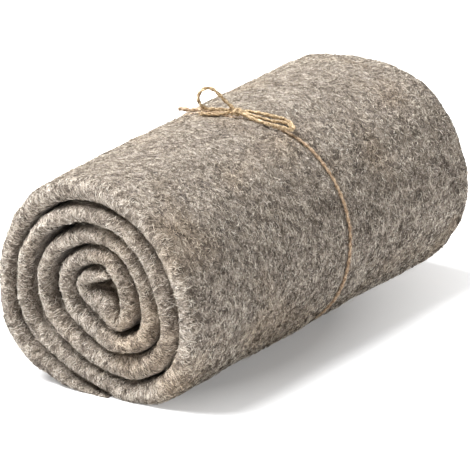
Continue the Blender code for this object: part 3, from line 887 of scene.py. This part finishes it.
class FELTROLL_OT_fibres(bpy.types.Operator):
    """Lays wool fibres over the outside and the cut edges of the felt"""

    bl_idname = "felt_roll.fibres"
    bl_label = "Wool fibres"

    def execute(self, context):
        sizes = context.scene.felt_roll_sizes
        wool = finish("wool_fibre", wool_fibre, WOOL_CODES)
        face = np.flatnonzero(SKIN.share > 0.35)
        near, far = SKIN.around[face[0]], SKIN.around[face[-1]]
        for number in range(3):
            chance = np.random.default_rng(20 + number)
            count = sizes.fibre_count
            run = chance.uniform(SKIN.outer_start, SKIN.run[-1], count)
            around = chance.uniform(near, far, count)
            place, facing = SKIN.read(run, around)
            heading = chance.uniform(0, 2 * math.pi, count)
            length = sizes.fibre_length / MM * chance.uniform(0.55, 1.45, count)
            lift = chance.uniform(0.1, 0.6, count)
            tip = np.where(chance.random(count) < 0.15, chance.uniform(0.3, 1.1, count), 0.0)
            # Painted light and shade: fibres that face sideways are given lighter lights and darker darks
            # than those on top.
            shade = self.shades(chance, place, 1.45 - 0.95 * np.clip(facing[:, 2], 0, 1))
            centres = lying_fibres(SKIN, chance, run, around, heading, length, 0.8, 3, lift, tip)
            thick = taper(3, sizes.fibre_width / MM * chance.uniform(0.7, 1.3, count))
            clear = self.clear_of_band(centres, chance)
            name = "wool_outside_%d" % (number + 1)
            self.place(fibres(name, centres[clear], thick[clear], shade[clear], wool))
        for name, first, seed in (("near", 0, 51), ("far", EDGE_LANES + FACE_LANES, 52)):
            chance = np.random.default_rng(seed)
            count = sizes.end_count
            run = chance.uniform(0, SKIN.run[-1], count)
            low, high = SKIN.around[first], SKIN.around[first + EDGE_LANES - 1]
            around = chance.uniform(low + 0.8, high - 0.8, count)
            place, _ = SKIN.read(run, around)
            heading = chance.choice([-1, 1], count) * math.pi / 2 + chance.normal(0, 0.4, count)
            length = sizes.fibre_length / MM * chance.uniform(0.6, 1.4, count)
            lift = chance.uniform(0.1, 0.5, count)
            tip = np.where(chance.random(count) < 0.2, chance.uniform(0.2, 1.3, count), 0.0)
            # Painted light and shade: the ends get lighter lights and darker darks than the top, as the
            # sides do.
            shade = self.shades(chance, place, 1.5)
            centres = lying_fibres(SKIN, chance, run, around, heading, length, 0.2, 4, lift, tip)
            thick = taper(4, sizes.fibre_width / MM * chance.uniform(0.7, 1.2, count))
            self.place(fibres("wool_end_" + name, centres, thick, shade, wool))
        self.strays(wool)
        return {"FINISHED"}

    @staticmethod
    def shades(chance, place, spread):
        """Light and dark fibres side by side, with more of one or the other in clumps; spread sets them
        further apart, which is painted light and shade where it is large.
        """
        clumps = 0.5 + 0.25 * lumps(place, 3.0, 41) + 0.1 * lumps(place, 12.0, 42)
        light = chance.random(len(place)) < clumps
        change = np.where(light, LIGHTER, DARKER) + chance.normal(0, 0.16, len(place))
        return np.clip(FIBRE_SHADE + change * spread, 0, 1)

    def strays(self, wool):
        """Long curly hairs that stand off the felt, seen along its outline."""
        chance = np.random.default_rng(61)
        count, points = STRAY_COUNT, STRAY_POINTS
        run = chance.uniform(SKIN.outer_start, SKIN.run[-1], count)
        around = chance.uniform(0, SKIN.around[2 * EDGE_LANES + FACE_LANES - 1], count)
        ends = chance.random(count) < 0.3
        run[ends] = chance.uniform(0, SKIN.run[-1], ends.sum())
        around[ends] = chance.uniform(0, SKIN.around[EDGE_LANES - 1], ends.sum())
        heading = chance.uniform(0, 2 * math.pi, count)
        length = chance.uniform(7, 20, count)
        lift = chance.uniform(0.4, 2.2, count)
        tip = chance.uniform(0.0, 2.4, count) * (chance.random(count) < 0.5)
        centres = lying_fibres(SKIN, chance, run, around, heading, length, 0.24, points, lift, tip)
        curl = np.linspace(0, 1, points)[None] * chance.uniform(4, 14, (count, 1))
        curl = curl + chance.uniform(0, 6, (count, 1))
        wobble = np.stack([np.sin(curl), np.cos(curl * 1.1), np.sin(curl * 0.9 + 1)], axis=-1)
        centres = centres + wobble * chance.uniform(0.1, 0.6, (count, 1, 1))
        thick = taper(points, chance.uniform(0.07, 0.12, count))
        shade = chance.uniform(0.4, 1.0, count)
        self.place(fibres("wool_strays", centres, thick, shade, wool))

    def clear_of_band(self, centres, chance):
        """Most fibres that would lie across the twine are left out, so that it shows."""
        middle = centres[:, 1] - END_MIDDLE
        clock = np.degrees(np.arctan2(middle[:, 2], middle[:, 0]))
        aside = np.abs(middle[:, 1] - band_row(clock)[:, 0])
        return (aside > TWINE_ASIDE) | (chance.random(len(centres)) < TWINE_CROSSED)

    def place(self, piece):
        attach(piece, "root")


class FELTROLL_OT_band(bpy.types.Operator):
    """Ties the jute twine round the roll"""

    bl_idname = "felt_roll.band"
    bl_label = "Twine band"

    def execute(self, context):
        radius = context.scene.felt_roll_sizes.twine / MM / 2
        yarn = finish("jute_band", jute, BAND_CODES)
        route = even_route(band_route(), BAND_STEP, closed=True) + END_MIDDLE
        grids, tone_and_painted_light_grids = plies(route, radius * 0.92, closed=True, seed=71, apart=0.36)
        band = skins("twine_round_roll", grids, yarn, closed=True, tone_and_painted_light_grids=tone_and_painted_light_grids)
        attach(band, "root")
        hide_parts("twine_band")
        hairs = twine_hairs("twine_band_hairs", route, *BAND_HAIRS, 72, yarn)
        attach(hairs, "root")
        return {"FINISHED"}


class FELTROLL_OT_bow(bpy.types.Operator):
    """Makes the knot, its two loops and its two ends"""

    bl_idname = "felt_roll.bow"
    bl_label = "Twine bow"

    def execute(self, context):
        radius = context.scene.felt_roll_sizes.twine / MM / 2
        yarn = finish("jute_yarn", jute, JUTE_CODES)
        dull = finish("jute_band", jute, BAND_CODES)
        knot = on_felt([KNOT_PLACE])[0]
        heading = LOOP_HEADING / np.linalg.norm(LOOP_HEADING)
        standing = [knot + [heading[0] * out, heading[1] * out, up] for out, up in STANDING_LOOP]
        cords = (
            ("loop_standing", standing, "twine_loop_standing", "object"),
            ("loop_lying", on_felt(LYING_LOOP), "twine_loop_lying", "object"),
            ("end_long", knot + np.array(LONG_END), "twine_end_long", "bare"),
        )
        for number, (name, rows, node, far_end) in enumerate(cords):
            route = even_route(rows) + END_MIDDLE
            flare = frayed(route, 0.3, 12, 5) if far_end == "bare" else None
            grids, tone_and_painted_light_grids = plies(route, radius, flare=flare, seed=80 + number, apart=0.36)
            # The long end takes the band's darker, greyer yarn, as painted shade.
            piece = skins(name, grids, dull if far_end == "bare" else yarn, tone_and_painted_light_grids=tone_and_painted_light_grids)
            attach(piece, "root")
            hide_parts(node)
            tuft = TUFT_HAIRS if far_end == "bare" else 0
            hairs = twine_hairs(name + "_hairs", route, *CORD_HAIRS, 90 + number, yarn, end_tuft=tuft)
            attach(hairs, "root")
        beside = even_route(on_felt(LYING_STRAND)) + END_MIDDLE
        grids, tone_and_painted_light_grids = plies(beside, radius * 0.8, seed=87)
        strand = skins("loop_lying_strand", grids, yarn, tone_and_painted_light_grids=tone_and_painted_light_grids)
        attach(strand, "root")
        self.tie(knot, radius, yarn)
        return {"FINISHED"}

    def tie(self, middle, radius, yarn):
        """The knot as a trefoil of twine, and the short end that leaves it."""
        t = np.linspace(0, 2 * math.pi, 49)[:-1]
        across = np.sin(t) + 2 * np.sin(2 * t)
        along = np.cos(t) - 2 * np.cos(2 * t)
        lump = middle + np.stack([across, along, -1.6 * np.sin(3 * t)], axis=1) * KNOT_SIZE
        ring = even_route(np.concatenate([lump, lump[:1]]), closed=True) + END_MIDDLE
        short = even_route(on_felt(SHORT_END)) + END_MIDDLE
        grids, tone_and_painted_light_grids = plies(ring, radius * 0.92, closed=True, seed=95)
        knot = skins("bow_knot", grids, yarn, closed=True, tone_and_painted_light_grids=tone_and_painted_light_grids)
        grids, tone_and_painted_light_grids = plies(short, radius, flare=frayed(short, 0.35, 5, 4), seed=96)
        end = skins("end_short", grids, yarn, tone_and_painted_light_grids=tone_and_painted_light_grids)
        hairs = twine_hairs("end_short_hairs", short, *SHORT_END_HAIRS, 97, yarn, end_tuft=TUFT_HAIRS)
        tufts = twine_hairs("bow_knot_hairs", ring, *KNOT_HAIRS, 98, yarn)
        for piece in (knot, end, hairs, tufts):
            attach(piece, "root")
        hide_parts("twine_knot")


class FELTROLL_OT_stage(bpy.types.Operator):
    """Sets the plain floor, the soft studio light and the camera"""

    bl_idname = "felt_roll.stage"
    bl_label = "Stage"

    def execute(self, context):
        scene = context.scene
        bm = bmesh.new()
        bmesh.ops.create_grid(bm, x_segments=1, y_segments=1, size=FLOOR_REACH)
        mesh = bpy.data.meshes.new("floor")
        bm.to_mesh(mesh)
        bm.free()
        material, tree, shader = new_material("lit_paper")
        shader.inputs["Base Color"].default_value = scene.felt_roll_colours.floor
        shader.inputs["Roughness"].default_value = 0.9
        shader.inputs["Emission Color"].default_value = (1.0, 1.0, 1.0, 1.0)
        # The paper's own light grows away from the roll, so that the shadow stays short and pale.
        place = add(tree, "ShaderNodeTexCoord").outputs["Object"]
        inputs = {0: place, 1: GLOW_SHAPE, 2: GLOW_SHIFT}
        wide = add(tree, "ShaderNodeVectorMath", inputs, operation="MULTIPLY_ADD").outputs[0]
        distance = add(tree, "ShaderNodeVectorMath", {0: wide}, operation="LENGTH").outputs["Value"]
        inputs = dict(enumerate((distance, *GLOW_REACH, *GLOW_STRENGTH)))
        glow = add(tree, "ShaderNodeMapRange", inputs)
        tree.links.new(glow.outputs[0], shader.inputs["Emission Strength"])
        new_object("floor", mesh, material)
        world = bpy.data.worlds.new("studio")
        scene.world = world
        world.use_nodes = True
        world.node_tree.nodes["Background"].inputs["Color"].default_value = (1.0, 1.0, 1.0, 1.0)
        world.node_tree.nodes["Background"].inputs["Strength"].default_value = WORLD_LIGHT
        scene.view_settings.view_transform = "Standard"
        scene.view_settings.look = "Medium High Contrast"
        end = Vector([value * MM for value in END_MIDDLE])
        away = VIEW_RIGHT.cross(VIEW_UP)
        aim = end + VIEW_RIGHT * ((PHOTO_SIDE / 2 - END_IN_PHOTO[0]) / PHOTO_PER_MM * MM)
        aim += VIEW_UP * ((END_IN_PHOTO[1] - PHOTO_SIDE / 2) / PHOTO_PER_MM * MM)
        aim -= away * away.dot(aim - Vector((0, 0, AIM_HEIGHT)))
        data = bpy.data.cameras.new("camera")
        data.sensor_width = SENSOR_WIDTH
        data.lens = CAMERA_AWAY * SENSOR_WIDTH / (PHOTO_SIDE / PHOTO_PER_MM * MM)
        data.clip_end = 100.0
        camera = bpy.data.objects.new("camera", data)
        camera.location = aim + away * CAMERA_AWAY
        camera.rotation_euler = (-away).to_track_quat("-Z", "Y").to_euler()
        scene.collection.objects.link(camera)
        scene.camera = camera
        for name, way, spread, strength, code in SOFT_LIGHTS:
            light = bpy.data.lights.new(name, "SUN")
            light.angle = math.radians(spread)
            light.energy = strength
            light.color = linear(code)[:3]
            lamp = bpy.data.objects.new(name, light)
            lamp.location = way
            lamp.rotation_euler = Vector(way).to_track_quat("Z", "Y").to_euler()
            scene.collection.objects.link(lamp)
        return {"FINISHED"}


class FELTROLL_PT_panel(bpy.types.Panel):
    """Sizes, colours and pieces of the felt roll"""

    bl_idname = "FELTROLL_PT_panel"
    bl_label = "Felt Roll"
    bl_space_type = "VIEW_3D"
    bl_region_type = "UI"
    bl_category = "Felt Roll"

    def draw(self, context):
        scene = context.scene
        for name in FeltRollSizes.__annotations__:
            self.layout.prop(scene.felt_roll_sizes, name)
        self.layout.prop(scene.felt_roll_colours, "floor")
        for operator in STEPS:
            self.layout.operator(operator.bl_idname)


STEPS = (FELTROLL_OT_stage, FELTROLL_OT_bow, FELTROLL_OT_band, FELTROLL_OT_felt, FELTROLL_OT_fibres)
CLASSES = (FeltRollSizes, FeltRollColours, *STEPS, FELTROLL_PT_panel)


def register():
    for cls in CLASSES:
        bpy.utils.register_class(cls)
    bpy.types.Scene.felt_roll_sizes = bpy.props.PointerProperty(type=FeltRollSizes)
    bpy.types.Scene.felt_roll_colours = bpy.props.PointerProperty(type=FeltRollColours)


def unregister():
    del bpy.types.Scene.felt_roll_colours
    del bpy.types.Scene.felt_roll_sizes
    for cls in reversed(CLASSES):
        bpy.utils.unregister_class(cls)


def main():
    register()
    bpy.ops.felt_roll.stage()
    bpy.ops.felt_roll.bow()
    bpy.ops.felt_roll.band()
    bpy.ops.felt_roll.felt()
    bpy.ops.felt_roll.fibres()


if __name__ == "__main__":
    main()
